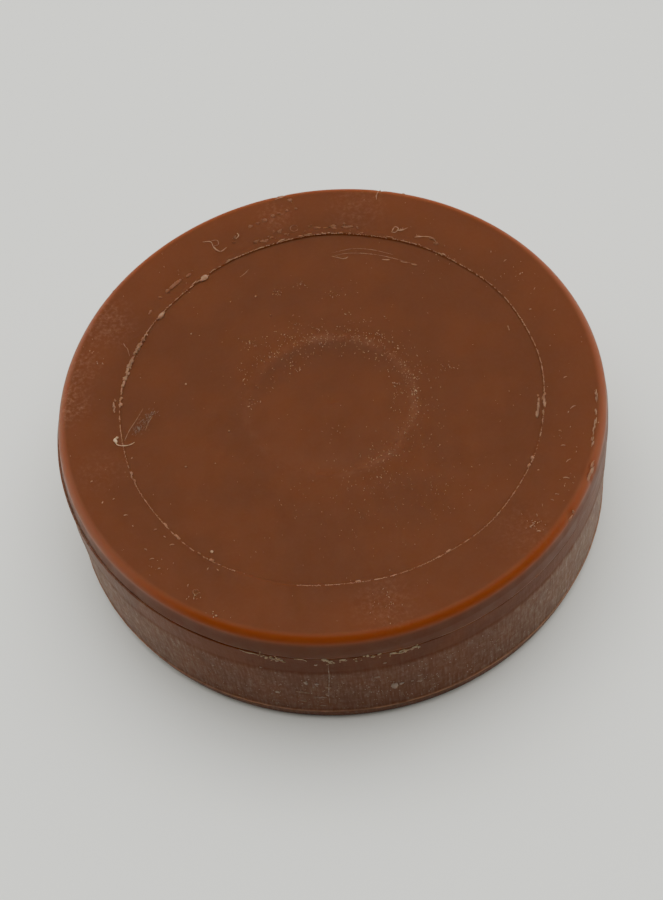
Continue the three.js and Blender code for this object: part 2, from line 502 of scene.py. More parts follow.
def add_cord(heap, places, size, direction, flatness=0.6, lumpiness=0.5):
    """A lumpy, tapered thread of wax through places, size mm thick across, that lies on the wax."""
    line = line_through(places, CORD_PITCH)
    points = []
    for k, place in enumerate(line):
        ahead = line[min(k + 1, len(line) - 1)] - line[max(k - 1, 0)]
        up = direction(place)
        side = ahead.cross(up).normalized()
        share = k / (len(line) - 1)
        taper = max(4 * share * (1 - share), CORD_TIP) ** CORD_TAPER
        half = 0.5 * size * MM * taper * (1 + lumpiness * noise.noise(place * CORD_GRAIN))
        for corner in range(CORNERS):
            tip = 2 * math.pi * corner / CORNERS
            points.append(place + half * (side * math.cos(tip) + up * flatness * math.sin(tip)))
    heap.add(points, tube_faces(len(line)))


# ---- materials -----------------------------------------------------------

class Nodes:
    """A short way to write a node tree."""

    def __init__(self, tree, coordinates):
        self.tree = tree
        self.place = tree.nodes.new("ShaderNodeTexCoord").outputs[coordinates]

    def link(self, source, target):
        self.tree.links.new(source, target)

    def fill(self, socket, value):
        if isinstance(value, bpy.types.NodeSocket):
            self.link(value, socket)
        else:
            socket.default_value = value

    def node(self, kind, inputs, **options):
        """A new node with these options and inputs. An input is a value or another node's output."""
        node = self.tree.nodes.new("ShaderNode" + kind)
        for option, choice in options.items():
            setattr(node, option, choice)
        for socket, value in inputs.items():
            self.fill(node.inputs[socket], value)
        return node

    def math(self, operation, first, second=0.0):
        return self.node("Math", {0: first, 1: second}, operation=operation).outputs[0]

    def times(self, first, second):
        return self.math("MULTIPLY", first, second)

    def plus(self, first, second):
        return self.math("ADD", first, second)

    def ramp(self, value, low, high, start=0.0, end=1.0):
        inputs = {"Value": value, "From Min": low, "From Max": high, "To Min": start, "To Max": end}
        return self.node("MapRange", inputs, interpolation_type="SMOOTHSTEP").outputs["Result"]

    def noise(self, scale, detail=2.0, roughness=0.5, place=None):
        inputs = {"Vector": place or self.place, "Scale": scale, "Detail": detail, "Roughness": roughness}
        return self.node("TexNoise", inputs).outputs["Fac"]

    def stretched(self, *scale):
        return self.node("Mapping", {"Vector": self.place, "Scale": scale}).outputs["Vector"]

    def mix(self, share, first, second):
        return self.node("Mix", {"Factor": share, 6: first, 7: second}, data_type="RGBA").outputs[2]

    def separate(self):
        return self.node("SeparateXYZ", {0: self.place}).outputs

    def distance(self, centre):
        """The distance from a vertical line through centre, in metres."""
        x, y, _ = self.separate()
        dx = self.math("SUBTRACT", x, centre.x)
        dy = self.math("SUBTRACT", y, centre.y)
        return self.math("SQRT", self.plus(self.times(dx, dx), self.times(dy, dy)))

    def ring(self, value, middle, slope):
        """1 where value is middle, fading to 0 this far below and above it."""
        rise = self.ramp(value, middle - slope, middle)
        return self.times(rise, self.ramp(value, middle, middle + slope, 1.0, 0.0))


class Material(Nodes):
    """The node tree of a new material."""

    def __init__(self, name):
        self.material = bpy.data.materials.new(name)
        self.material.use_nodes = True
        super().__init__(self.material.node_tree, "Object")
        self.shader = self.tree.nodes["Principled BSDF"]

    def bump(self, height, strength, distance):
        node = self.node("Bump", {"Strength": strength, "Distance": distance, "Height": height})
        self.link(node.outputs["Normal"], self.shader.inputs["Normal"])


WAX = (0.105, 0.0217, 0.0024, 1)
WAX_DEEP = (0.092, 0.0188, 0.0021, 1)
# painted glow: warmer wax near the edge of the face, standing in for light scattered in at the rim
WAX_EDGE_GLOW = (0.20, 0.040, 0.006, 1)
# painted glow: saturated orange at the rim, standing in for light scattered through the wax
WAX_RIM_GLOW = (0.21, 0.043, 0.006, 1)
# the wax darkened with painted shade, for the walls
WAX_WALL = (0.086, 0.0180, 0.0024, 1)
WAX_SIDE = (0.108, 0.0245, 0.0034, 1)
WAX_SHADE = (0.074, 0.0155, 0.0022, 1)
BLOOM = (0.32, 0.17, 0.10, 1)
DROP = (0.185, 0.078, 0.040, 1)
# pale grey: real dust, and painted sheen where it stands in for reflected light
DUST_AND_SHEEN = (0.27, 0.203, 0.160, 1)
CRUMB = (0.50, 0.33, 0.20, 1)
JOINT = (0.33, 0.24, 0.15, 1)
SPECULAR_TINT = (1.0, 0.86, 0.68, 1)
SCATTER_RADIUS = (1.0, 0.32, 0.12)
BLOOM_PATCHES = (  # pale frosting on the face: x, y, radius and strength
    (-31.5, 19.5, 6.5, 0.4), (-35.5, 12.0, 5.0, 0.35), (-37.8, 6.0, 5.0, 0.6), (-33.5, -6.5, 5.0, 0.15),
    (-4.0, 34.8, 4.0, 0.3), (8.5, 34.0, 6.0, 0.2), (3.5, -35.0, 6.0, 0.25), (24.0, -26.5, 6.0, 0.15),
)
SPECULAR_LEVEL = 0.2
FACE_REFRACTION = 1.45
SIDE_REFRACTION = 1.3
SHEEN = 0.02
SHEEN_ROUGHNESS = 0.3
# painted sheen: grey reflected light on the rim at the left and right
RIM_SHEEN_LEFT = 0.24
RIM_SHEEN_RIGHT = 0.16
SIDE_DUST_BAND = 0.56
SIDE_DUST_OVER = 0.22  # the share of the band's dust that the wall above it has
# dust and painted sheen on the body's left and right sides
SIDE_DUST_AND_SHEEN_LEFT = 0.62
SIDE_DUST_AND_SHEEN_RIGHT = 0.7
SIDE_DUST_LEAST = 0.22


def wax_shader(nodes, weight, scale, refraction):
    nodes.shader.inputs["Subsurface Weight"].default_value = weight
    nodes.shader.inputs["Subsurface Radius"].default_value = SCATTER_RADIUS
    nodes.shader.inputs["Subsurface Scale"].default_value = scale
    nodes.shader.inputs["IOR"].default_value = refraction
    nodes.shader.inputs["Specular IOR Level"].default_value = SPECULAR_LEVEL
    nodes.shader.inputs["Specular Tint"].default_value = SPECULAR_TINT


def add_sheen(nodes):
    nodes.shader.inputs["Sheen Weight"].default_value = SHEEN
    nodes.shader.inputs["Sheen Roughness"].default_value = SHEEN_ROUGHNESS


def disc_colour(nodes, x, z):
    """Brown wax in faint clouds, with painted glow warmer near the edge and orange at the rim, painted grey
    sheen at the rim's left and right, and painted shade darkening it down the wall.
    """
    colour = nodes.mix(nodes.ramp(nodes.noise(90, 3), 0.35, 0.7), WAX_DEEP, WAX)
    out = nodes.distance(DISC_CENTRE)
    # painted glow: warmer towards the edge
    warm = nodes.ramp(out, DISC_RADIUS - 9 * MM, DISC_RADIUS - 2 * MM)
    colour = nodes.mix(nodes.times(warm, 0.1), colour, WAX_EDGE_GLOW)
    # painted glow: orange at the rim
    outer = nodes.ramp(out, DISC_RADIUS - 1.5 * MM, DISC_RADIUS - 0.2 * MM)
    rim = nodes.times(outer, nodes.ramp(z, FACE - 1.9 * MM, FACE - 0.8 * MM))
    colour = nodes.mix(rim, colour, WAX_RIM_GLOW)
    # painted sheen: grey on the rim at the left and right
    left = nodes.ramp(x, -38 * MM, -20 * MM, RIM_SHEEN_LEFT, 0.0)
    right = nodes.ramp(x, 24 * MM, 39 * MM, 0.0, RIM_SHEEN_RIGHT)
    colour = nodes.mix(nodes.times(rim, nodes.plus(left, right)), colour, DUST_AND_SHEEN)
    # painted shade: darker down the wall
    return nodes.mix(nodes.ramp(z, FACE - 2.8 * MM, FACE - 1.3 * MM, 0.7, 0.0), colour, WAX_WALL)


def circle_bloom(nodes, x, y):
    """The bloom at the centre circle, most on its ridge at the right and back, with a painted highlight on
    the hollow's front slope, and the circle's hollow.
    """
    slope = 1.2 * MM
    circle = nodes.distance(CIRCLE_CENTRE)
    wear = nodes.ramp(nodes.noise(700, 4, 0.7), 0.35, 0.65)
    right_back = nodes.ramp(nodes.plus(x, nodes.times(y, 0.3)), -9 * MM, 6 * MM, 0.35, 1.0)
    ridge = nodes.times(nodes.ring(circle, CIRCLE_RADIUS, slope), right_back)
    bloom = nodes.times(nodes.times(ridge, wear), 0.1)
    hollow = nodes.ramp(circle, CIRCLE_RADIUS - 6 * MM, CIRCLE_RADIUS - slope)
    hollow = nodes.times(hollow, nodes.ramp(circle, CIRCLE_RADIUS - slope, CIRCLE_RADIUS, 1.0, 0.0))
    # painted highlight on the hollow's front slope, added to the bloom
    front = nodes.times(hollow, nodes.ramp(y, -10 * MM, -3 * MM, 0.025, 0.0))
    return nodes.plus(bloom, front), hollow


def frosting(nodes, bloom):
    """Adds the pale patches, and a trace of frost everywhere, to the bloom."""
    frost = nodes.ramp(nodes.noise(1700, 5, 0.75), 0.4, 0.9)
    for x, y, radius, amount in BLOOM_PATCHES:
        out = nodes.distance(Vector((x, y, 0)) * MM)
        there = nodes.times(nodes.ramp(out, 0.2 * radius * MM, radius * MM, 1.0, 0.0), frost)
        bloom = nodes.plus(bloom, nodes.times(there, amount))
    return nodes.plus(bloom, nodes.times(frost, 0.035))


def display_wax():
    """Brown wax, smooth and slightly clear, with a painted warm glow at the rim, faint clouds, a trace of
    bloom, and painted shade and highlight in the centre circle's hollow.
    """
    nodes = Material("display_wax")
    x, y, z = nodes.separate()
    bloom, hollow = circle_bloom(nodes, x, y)
    shade = nodes.times(hollow, nodes.ramp(y, 0.0, 9 * MM, 0.0, 0.55))
    colour = nodes.mix(shade, disc_colour(nodes, x, z), WAX_SHADE)
    colour = nodes.mix(frosting(nodes, bloom), colour, BLOOM)
    nodes.link(colour, nodes.shader.inputs["Base Color"])
    gloss = nodes.ramp(nodes.noise(420, 3), 0.3, 0.75, 0.44, 0.54)
    nodes.link(gloss, nodes.shader.inputs["Roughness"])
    grain = nodes.plus(nodes.noise(1800, 3, 0.6), nodes.times(nodes.noise(500, 2), 1.5))
    nodes.bump(grain, 0.2, 0.04 * MM)
    wax_shader(nodes, 0.7, 2.6 * MM, FACE_REFRACTION)
    add_sheen(nodes)
    return nodes.material


def body_wax():
    """The body: duller, with a dusty lower band, dust and painted sheen at the left and right, fine upright
    scuffs and a paler bead over the foot.
    """
    nodes = Material("body_wax")
    x, _, z = nodes.separate()
    # clouds between the wall wax, which carries painted shade, and the side wax
    colour = nodes.mix(nodes.ramp(nodes.noise(150, 3), 0.35, 0.7), WAX_WALL, WAX_SIDE)
    upright = nodes.noise(1.0, 4, 0.65, nodes.stretched(2600, 2600, 260))
    mottle = nodes.noise(1100, 4, 0.7)
    dusty = nodes.times(nodes.ramp(upright, 0.28, 0.82), nodes.ramp(mottle, 0.2, 0.85))
    band = nodes.ramp(z, BAND_TOP - 0.3 * MM, BAND_TOP + 0.8 * MM, 1.0, SIDE_DUST_OVER)
    # dust and painted sheen at the left and right sides
    left = nodes.ramp(x, -38 * MM, -18 * MM, SIDE_DUST_AND_SHEEN_LEFT, 0.0)
    right = nodes.times(nodes.ramp(x, 12 * MM, 36 * MM, 0.0, SIDE_DUST_AND_SHEEN_RIGHT), band)
    amount = nodes.plus(nodes.times(band, SIDE_DUST_BAND), nodes.plus(left, right))
    colour = nodes.mix(nodes.times(amount, nodes.plus(dusty, SIDE_DUST_LEAST)), colour, DUST_AND_SHEEN)
    bead = nodes.ring(z, BEAD_HEIGHT, 0.35 * MM)
    # paler at the bead over the foot
    pale_bead = nodes.times(bead, nodes.ramp(nodes.noise(300, 3, 0.6), 0.3, 0.6, 0.3, 1.0))
    nodes.link(nodes.mix(pale_bead, colour, BLOOM), nodes.shader.inputs["Base Color"])
    nodes.link(nodes.ramp(band, 0, 1, 0.5, 0.62), nodes.shader.inputs["Roughness"])
    nodes.bump(nodes.plus(upright, mottle), 0.45, 0.07 * MM)
    wax_shader(nodes, 0.45, 1.6 * MM, SIDE_REFRACTION)
    add_sheen(nodes)
    return nodes.material


def pale_wax(name, pale, share):
    """Thin or crushed wax, which turns pale: flash, crumbs, flecks and the shaving."""
    nodes = Material(name)
    paler = nodes.ramp(nodes.noise(700, 3), 0.3, 0.7, share - 0.25, share + 0.25)
    nodes.link(nodes.mix(paler, WAX, pale), nodes.shader.inputs["Base Color"])
    nodes.link(nodes.ramp(nodes.noise(900, 2), 0.3, 0.7, 0.45, 0.65), nodes.shader.inputs["Roughness"])
    nodes.bump(nodes.noise(3000, 2), 0.3, 0.03 * MM)
    wax_shader(nodes, 0.35, 0.5 * MM, FACE_REFRACTION)
    return nodes.material


# ---- the marks -----------------------------------------------------------

FLASH_START = 254
FLASH_SWEEP = 344
FLASH_STEPS = 2600
FLASH_LEVEL = FACE - 0.07 * MM
FLASH_JITTER = 0.11 * MM
FLASH_OUT = 0.02 * MM


def flash_size(degrees):
    """Half the width of the flash: thick at the left, thin elsewhere, and broken here and there."""
    left = hill(turn_gap(math.radians(degrees), 155), 0, 15)
    back = hill(turn_gap(math.radians(degrees), 90), 0, 40)
    size = 0.060 + 0.015 * left + 0.004 * back
    grain = noise.noise(Vector((degrees * 0.7, 0, 0))) + 0.9 * noise.noise(Vector((degrees * 2.9, 5, 0)))
    return max(size * (1 + 1.3 * grain), 0.0) * MM


def make_flash(material):
    """The thin line of wax squeezed up at the panel's edge."""
    heap = Heap()
    points = []
    for step in range(FLASH_STEPS + 1):
        degrees = FLASH_START + FLASH_SWEEP * step / FLASH_STEPS
        angle = math.radians(degrees)
        size = flash_size(degrees)
        middle = panel_edge(angle) + FLASH_OUT + FLASH_JITTER * noise.noise(Vector((degrees * 1.7, 9, 0)))
        for corner in range(CORNERS):
            tip = -2 * math.pi * corner / CORNERS
            radius = middle + size * math.cos(tip)
            x = PANEL_CENTRE.x + radius * math.cos(angle)
            y = PANEL_CENTRE.y + radius * math.sin(angle)
            points.append(Vector((x, y, FLASH_LEVEL + 1.1 * size * math.sin(tip))))
    heap.add(points, tube_faces(FLASH_STEPS + 1))
    heap.build("mould_flash", material)


RING_LUMPS = (  # angle, half length, half width and half height
    (122, 0.85, 0.45, 0.16), (139, 0.75, 0.35, 0.15), (150, 0.3, 0.22, 0.12),
    (170.5, 0.32, 0.26, 0.12), (168.5, 0.26, 0.22, 0.12), (193.5, 0.35, 0.16, 0.1),
    (196, 0.3, 0.14, 0.1), (213, 0.35, 0.16, 0.12), (218, 0.45, 0.2, 0.12),
    (226, 0.3, 0.14, 0.12), (230, 0.35, 0.22, 0.14), (270, 0.35, 0.18, 0.1),
    (295, 0.35, 0.18, 0.12), (329, 0.35, 0.22, 0.12), (331.5, 0.3, 0.25, 0.12),
)


def make_flash_lumps(material):
    """Thicker bits of wax along the flash."""
    heap = Heap()
    for degrees, length, width, height in RING_LUMPS:
        add_bit(heap, BLOB, on_ring(degrees, 0.1), flat_axes(degrees + 90), (length, width, height), 0.7)
    chance = random.Random(21)
    for _ in range(46):
        degrees = chance.triangular(143, 171, 158)
        half = (chance.uniform(0.12, 0.36), chance.uniform(0.08, 0.2), 0.11)
        add_bit(heap, BLOB, on_ring(degrees, chance.uniform(-0.2, 0.15)), flat_axes(degrees + 88), half, 1.0)
    for _ in range(9):
        degrees, half = chance.uniform(169.0, 173.0), (chance.uniform(0.12, 0.3), 0.1, 0.07)
        place = on_ring(degrees, chance.uniform(-0.95, -0.6))
        add_bit(heap, BLOB, place, flat_axes(degrees + 90), half, 1.0)
    for _ in range(22):
        degrees, inward = chance.uniform(344.5, 352.5), chance.choice((0.0, 0.75)) + chance.gauss(0, 0.1)
        half = (chance.uniform(0.2, 0.55), chance.uniform(0.07, 0.15), 0.08)
        add_bit(heap, BLOB, on_ring(degrees, inward), flat_axes(degrees + 90), half, 1.0)
    for _ in range(30):
        degrees = chance.uniform(44, 130)
        half = (chance.uniform(0.1, 0.45), chance.uniform(0.05, 0.1), chance.uniform(0.04, 0.08))
        add_bit(heap, BLOB, on_ring(degrees, chance.uniform(-0.3, 0.0)), flat_axes(degrees + 90), half, 1.0)
    heap.build("flash_lumps", material)


BACK_DROPS = (  # melted drops outside the panel: x, y, half length and turn
    (-5.9, 30.4, 0.6, 10), (-4.8, 30.8, 0.5, 20), (-3.6, 31.8, 0.7, 50), (-2.5, 30.9, 0.4, 0),
    (1.3, 31.9, 0.4, 150), (2.1, 31.3, 0.7, 160), (3.4, 31.0, 0.4, 0), (4.4, 31.1, 0.8, 5),
    (6.2, 31.4, 0.35, 90), (6.9, 30.5, 0.8, 170), (8.1, 30.2, 0.4, 100), (-10.2, 31.9, 0.5, 70),
    (-10.6, 31.0, 0.35, 30), (-7.4, 30.4, 0.6, 20), (14.5, 28.7, 0.4, 60), (18.8, 26.0, 0.6, 150),
    (19.2, 25.1, 0.6, 130), (16.8, 26.9, 0.5, 160), (0.3, 30.9, 0.3, 0), (20.4, 24.4, 0.3, 90),
)
BACK_DOTS = (  # a row of round drops near the rim: x, y and radius
    (-7.8, 33.5, 0.38), (-6.6, 33.9, 0.34), (-5.5, 34.3, 0.45), (-4.2, 34.9, 0.36), (-3.2, 35.2, 0.3),
    (-2.0, 35.5, 0.25), (-1.3, 37.4, 0.4), (-0.6, 35.6, 0.25), (-22.5, 22.7, 0.3),
)
LEFT_BARS = (  # thick drawn-out drops outside the flash at the left: from, to and thickness
    (-21.6, 23.4, -19.0, 25.5, 0.65),
    (-18.3, 25.7, -17.5, 26.3, 0.4),
    (-24.4, 19.9, -23.9, 20.6, 0.3),
)

LOOPS = ((-1.3, 31.9, 0.6), (-21.9, -28.6, 0.4))  # small closed curls: x, y and radius


def make_drops(material):
    """Drops and dribbles that melted onto the outer ring, the same wax as the disc."""
    heap = Heap()
    chance = random.Random(17)
    for x, y, half, turn in BACK_DROPS:
        for _ in range(3):
            place = on_face(x + chance.gauss(0, 0.35 * half), y + chance.gauss(0, 0.2 * half))
            size = 0.5 * half * chance.uniform(0.7, 1.2)
            axes = flat_axes(turn + chance.uniform(-25, 25))
            add_bit(heap, BLOB, place, axes, (size, 0.55 * size, 0.06), 1.0)
    for x, y, radius in BACK_DOTS:
        add_bit(heap, BLOB, on_face(x, y), flat_axes(0), (0.85 * radius, 0.75 * radius, 0.06), 0.6)
    for x, y, end_x, end_y, size in LEFT_BARS:
        middle = on_face(0.5 * (x + end_x), 0.5 * (y + end_y))
        add_cord(heap, [on_face(x, y), middle, on_face(end_x, end_y)], size, upward, 0.35, 1.1)
    for x, y, radius in LOOPS:
        loop = [on_face(x + radius * math.cos(t), y + radius * math.sin(t)) for t in steps(0.3, 5.9, 0.6)]
        add_cord(heap, loop, 0.16, upward, 0.5, 0.9)
    heap.build("melted_drops", material)


CURLS = (  # thin curled threads on the face: the places they pass, and the thickness
    (((-15.2, 31.9), (-14.0, 31.7), (-13.7, 30.7)), 0.12),
    (((-13.7, 30.7), (-13.3, 30.0), (-12.6, 29.6), (-11.7, 30.2)), 0.22),
    (((-13.9, 31.9), (-13.0, 31.8), (-12.9, 31.0), (-13.6, 30.8)), 0.12),
    (((-9.9, 32.6), (-9.7, 32.1), (-10.2, 31.5)), 0.18),
    (((13.0, 28.4), (13.6, 29.3), (14.1, 28.9), (13.6, 28.3), (13.0, 28.4)), 0.15),
    (((13.8, 28.6), (14.6, 28.5), (15.5, 28.8)), 0.2),
    (((16.2, 26.8), (17.6, 26.7), (18.7, 26.3), (19.3, 25.4)), 0.2),
    (((-3.6, 37.9), (-2.8, 38.1), (-2.0, 38.3)), 0.2),
    (((11.6, 35.0), (11.7, 35.8), (12.1, 36.5)), 0.18),
    (((-28.5, 15.3), (-28.3, 14.7), (-28.0, 14.2), (-27.8, 12.8)), 0.1),
)
SCRATCHES = (  # fine raised scratches: the places they pass, and the thickness
    (((-29.7, -1.8), (-28.9, -0.2), (-27.8, 1.4), (-26.6, 3.3)), 0.1),
    (((3.6, 25.7), (5.9, 25.9), (8.8, 25.3), (11.8, 24.1), (15.3, 22.1)), 0.055),
    (((3.8, 26.4), (6.8, 26.6), (9.6, 25.9), (12.6, 24.4)), 0.05),
    (((3.6, 25.8), (4.6, 25.3), (5.4, 24.9)), 0.12),
    (((5.0, 25.1), (5.6, 25.0), (6.0, 25.2)), 0.12),
    (((10.9, 23.8), (11.5, 23.6), (12.1, 23.5)), 0.14),
    (((13.6, 22.9), (14.1, 22.6), (14.6, 22.5)), 0.14),
    (((15.1, 22.1), (15.5, 21.9), (15.9, 21.7)), 0.24),
    (((-26.6, -0.6), (-26.1, 0.6), (-25.4, 1.7)), 0.08),
    (((-10.4, 24.4), (-9.6, 24.9), (-8.9, 25.6)), 0.09),
    (((27.4, 7.4), (27.3, 8.3)), 0.2),
)
FLECKS = (  # short curved flecks on the outer ring: x, y, half length and turn
    (33.9, -2.3, 0.3, 20), (34.1, -7.6, 0.5, 25), (33.3, -8.3, 0.18, 60), (31.6, -11.2, 0.2, -10),
    (31.6, -13.8, 0.35, -5), (31.9, -16.4, 0.45, 30), (31.1, -19.2, 0.45, -15), (27.5, -17.2, 0.15, 0),
    (29.4, -21.6, 0.3, -20), (28.6, -22.4, 0.25, -30), (27.1, -23.0, 0.2, 80), (26.1, -24.5, 0.25, 90),
    (25.1, -26.1, 0.35, 30), (25.9, -27.1, 0.3, -10), (34.4, 9.7, 0.25, 20), (32.2, 14.1, 0.25, 60),
    (28.8, 20.0, 0.3, 35), (27.0, 22.0, 0.2, 80), (30.6, 17.2, 0.2, 50), (31.0, 10.5, 0.18, 10),
    (-30.5, -14.5, 0.3, -5), (-26.6, -17.6, 0.25, 10), (-25.4, -19.0, 0.2, -40), (-24.5, -20.5, 0.35, 0),
    (-32.0, -11.5, 0.18, 30), (-19.9, -25.2, 0.2, 60), (-18.6, -25.6, 0.2, -60), (-34.9, -8.0, 0.2, 20),
    (-33.6, -11.8, 0.2, 60), (-28.2, -20.6, 0.25, -40), (-27.5, -22.3, 0.35, 5), (-26.6, -24.0, 0.2, 10),
    (-22.9, -27.4, 0.25, 70), (-19.0, -24.0, 0.22, 80), (-29.2, -8.2, 0.35, 95), (-28.9, -5.0, 0.15, 40),
)
SHAVING = ((-31.1, -1.5), (-30.9, -2.3), (-30.3, -2.7), (-29.4, -2.75), (-28.7, -2.6), (-28.3, -2.35))


def make_threads(material):
    """Thin threads, curls and scratches of paler wax on the face."""
    heap = Heap()
    for line, size in CURLS:
        add_cord(heap, [on_face(x, y, 0.02) for x, y in line], size, upward, 0.5, 0.9)
    for line, size in SCRATCHES:
        add_cord(heap, [on_face(x, y) for x, y in line], size, upward, 0.5, 0.9)
    for x, y, half, turn in FLECKS:
        across, along = half * math.cos(math.radians(turn)), half * math.sin(math.radians(turn))
        bend = 0.25 * half
        line = [(x - across, y - along), (x, y + bend), (x + across, y + along)]
        add_cord(heap, [on_face(px, py) for px, py in line], 0.17, upward, 0.5, 0.9)
    heap.build("wax_threads", material)


def make_shaving(material):
    """The pale shaving that hooks over the flash at the left, with a bright knob at its end."""
    heap = Heap()
    add_cord(heap, [on_face(x, y, 0.05) for x, y in SHAVING], 0.14, upward, 0.7, 0.8)
    add_bit(heap, BLOB, on_face(-31.0, -1.7, 0.02), flat_axes(100), (0.42, 0.27, 0.14), 0.8)
    add_bit(heap, BLOB, on_face(-30.75, -1.25, 0.02), flat_axes(20), (0.24, 0.16, 0.1), 0.8)
    heap.build("shaving", material)


SPECK_GROUPS = (  # clusters of specks on the face: x, y, spread and count
    (-5.0, 20.6, 1.4, 16), (-1.6, 21.2, 1.2, 12), (3.0, 18.6, 1.8, 16), (-10.2, 12.1, 0.9, 12),
    (-10.9, 1.2, 1.0, 12), (17.6, 2.7, 1.6, 16), (-0.2, -4.7, 1.8, 8), (-4.0, 6.3, 1.4, 12),
    (9.7, 1.0, 0.8, 8), (12.6, 1.6, 0.9, 12), (25.5, -25.9, 1.8, 12), (31.0, -19.5, 2.2, 10),
    (4.0, -35.0, 3.2, 22), (29.0, 17.0, 4.0, 12), (33.5, -12.0, 3.5, 10), (-22.0, -29.0, 2.4, 10),
    (-19.5, -32.5, 1.4, 6), (-27.0, -24.0, 2.0, 8), (-33.0, 14.0, 2.5, 10), (20.0, 22.0, 3.0, 8),
)
BRIGHT_SPECKS = (  # single bright specks on the face: x, y and radius
    (-20.1, 6.5, 0.17), (-14.7, -2.8, 0.15), (-21.4, -7.8, 0.16), (-18.5, 15.3, 0.15), (9.7, 1.2, 0.15),
    (-19.1, -22.5, 0.24), (-6.6, 16.6, 0.14), (-8.4, 20.4, 0.14), (-17.2, -8.0, 0.1), (-12.2, 20.1, 0.12),
    (12.6, -2.0, 0.12), (-19.5, -32.8, 0.16), (10.1, 1.0, 0.14), (12.4, -4.5, 0.11),
)


def add_speck(heap, chance, x, y, size):
    """A tiny stroke of pale wax at x, y, mostly leaning one way or the other from the y axis."""
    lean = 90 + chance.choice((-1, 1)) * chance.uniform(5, 60)
    long = size * chance.uniform(0.7, 1.9)
    add_bit(heap, FLAKE, on_face(x, y), flat_axes(lean), (long, 0.55 * size, 0.045), 0.5)


def make_specks(material):
    """Pale specks: thick round the centre circle, scattered elsewhere."""
    heap = Heap()
    chance = random.Random(11)
    for _ in range(760):
        degrees = chance.uniform(-75, 165)
        crowd = 0.25 + hill(degrees, 85, 45) + 0.5 * hill(degrees, 12, 28) + 0.35 * hill(degrees, -50, 30)
        radius = CIRCLE_RADIUS / MM + chance.triangular(-4.0, 6.0, 0.4)
        if chance.random() > crowd:
            continue
        x, y = around(CIRCLE_CENTRE, degrees, radius)
        add_speck(heap, chance, x, y, chance.triangular(0.045, 0.13, 0.06))
    for _ in range(80):
        degrees, radius = chance.triangular(-75, 125, 75), CIRCLE_RADIUS / MM + chance.gauss(0, 0.25)
        x, y = around(CIRCLE_CENTRE, degrees, radius)
        add_speck(heap, chance, x, y, chance.triangular(0.04, 0.1, 0.05))
    for _ in range(260):
        x, y = chance.gauss(7, 8), chance.gauss(-17, 5)
        if math.hypot(x, y) < 29:
            add_speck(heap, chance, x, y, chance.triangular(0.04, 0.085, 0.045))
    for _ in range(240):
        x, y = around(ORIGIN, chance.uniform(0, 360), 38 * math.sqrt(chance.random()))
        add_speck(heap, chance, x, y, chance.triangular(0.03, 0.08, 0.04))
    for x, y, spread, count in SPECK_GROUPS:
        for _ in range(count):
            place_x, place_y = chance.gauss(x, 0.5 * spread), chance.gauss(y, 0.35 * spread)
            add_speck(heap, chance, place_x, place_y, chance.triangular(0.045, 0.13, 0.06))
    for x, y, radius in BRIGHT_SPECKS:
        add_bit(heap, FLAKE, on_face(x, y), flat_axes(0), (radius, radius, 0.1), 0.5)
    heap.build("pale_specks", material)


def make_scuff(material):
    """A faint dusty smear beside the shaving."""
    heap = Heap()
    chance = random.Random(5)
    for _ in range(150):
        share = chance.random()
        x = -28.2 + 3.2 * share + chance.gauss(0, 0.38)
        y = -0.9 + 3.4 * share + chance.gauss(0, 0.38)
        add_bit(heap, FLAKE, on_face(x, y), flat_axes(45), (chance.uniform(0.06, 0.16), 0.035, 0.02), 0.5)
    heap.build("dusty_scuff", material)


CHIP_CRUMBS = (  # bits left in the rim's chips: angle, depth below the face, half length and half height
    (-26.3, 0.4, 0.75, 0.42), (-27.3, 0.75, 0.65, 0.36), (-28.3, 0.45, 0.75, 0.4),
    (-29.4, 0.62, 0.65, 0.38), (-38.0, 0.75, 0.2, 0.34), (-39.5, 1.00, 0.6, 0.2),
    (94.3, 0.25, 0.5, 0.08), (71.8, 0.3, 0.16, 0.14), (66.5, 0.25, 0.25, 0.08), (139, 0.3, 0.25, 0.08),
)
RIM_SCUFFS = (  # long pale scuffs just inside the rim at the right: angles from and to, radius and count
    (-8.2, -10.6, 38.2, 8), (-12.8, -14.0, 38.2, 6), (-15.4, -19.6, 38.2, 14), (-20.4, -22.6, 38.4, 6),
)


def make_chips(material):
    """Crushed wax at the chips round the rim, and the scuffs beside them."""
    heap = Heap()
    chance = random.Random(13)
    for start, end, radius, count in RIM_SCUFFS:
        for _ in range(count):
            degrees, out = chance.uniform(start, end), radius + chance.gauss(0, 0.12)
            place = on_face(*around(ORIGIN, degrees, out))
            half = (chance.uniform(0.15, 0.5), chance.uniform(0.05, 0.1), 0.04)
            add_bit(heap, FLAKE, place, flat_axes(degrees + 90), half)
    for degrees, below, half_length, half_height in CHIP_CRUMBS:
        fall = min(below / (RIM_ROUND / MM), 1.0)
        out = DISC_RADIUS / MM - (1 - math.sqrt(1 - (1 - fall) ** 2)) * RIM_ROUND / MM - 0.04
        x, y = around(DISC_CENTRE, degrees, out)
        place = Vector((x * MM, y * MM, FACE - below * MM))
        place -= chipped(place.z, math.radians(degrees)) * outward(place)
        add_bit(heap, BLOB, place, wall_axes(degrees + 90), (half_length, half_height, 0.16), 0.6)
    heap.build("rim_chips", material)


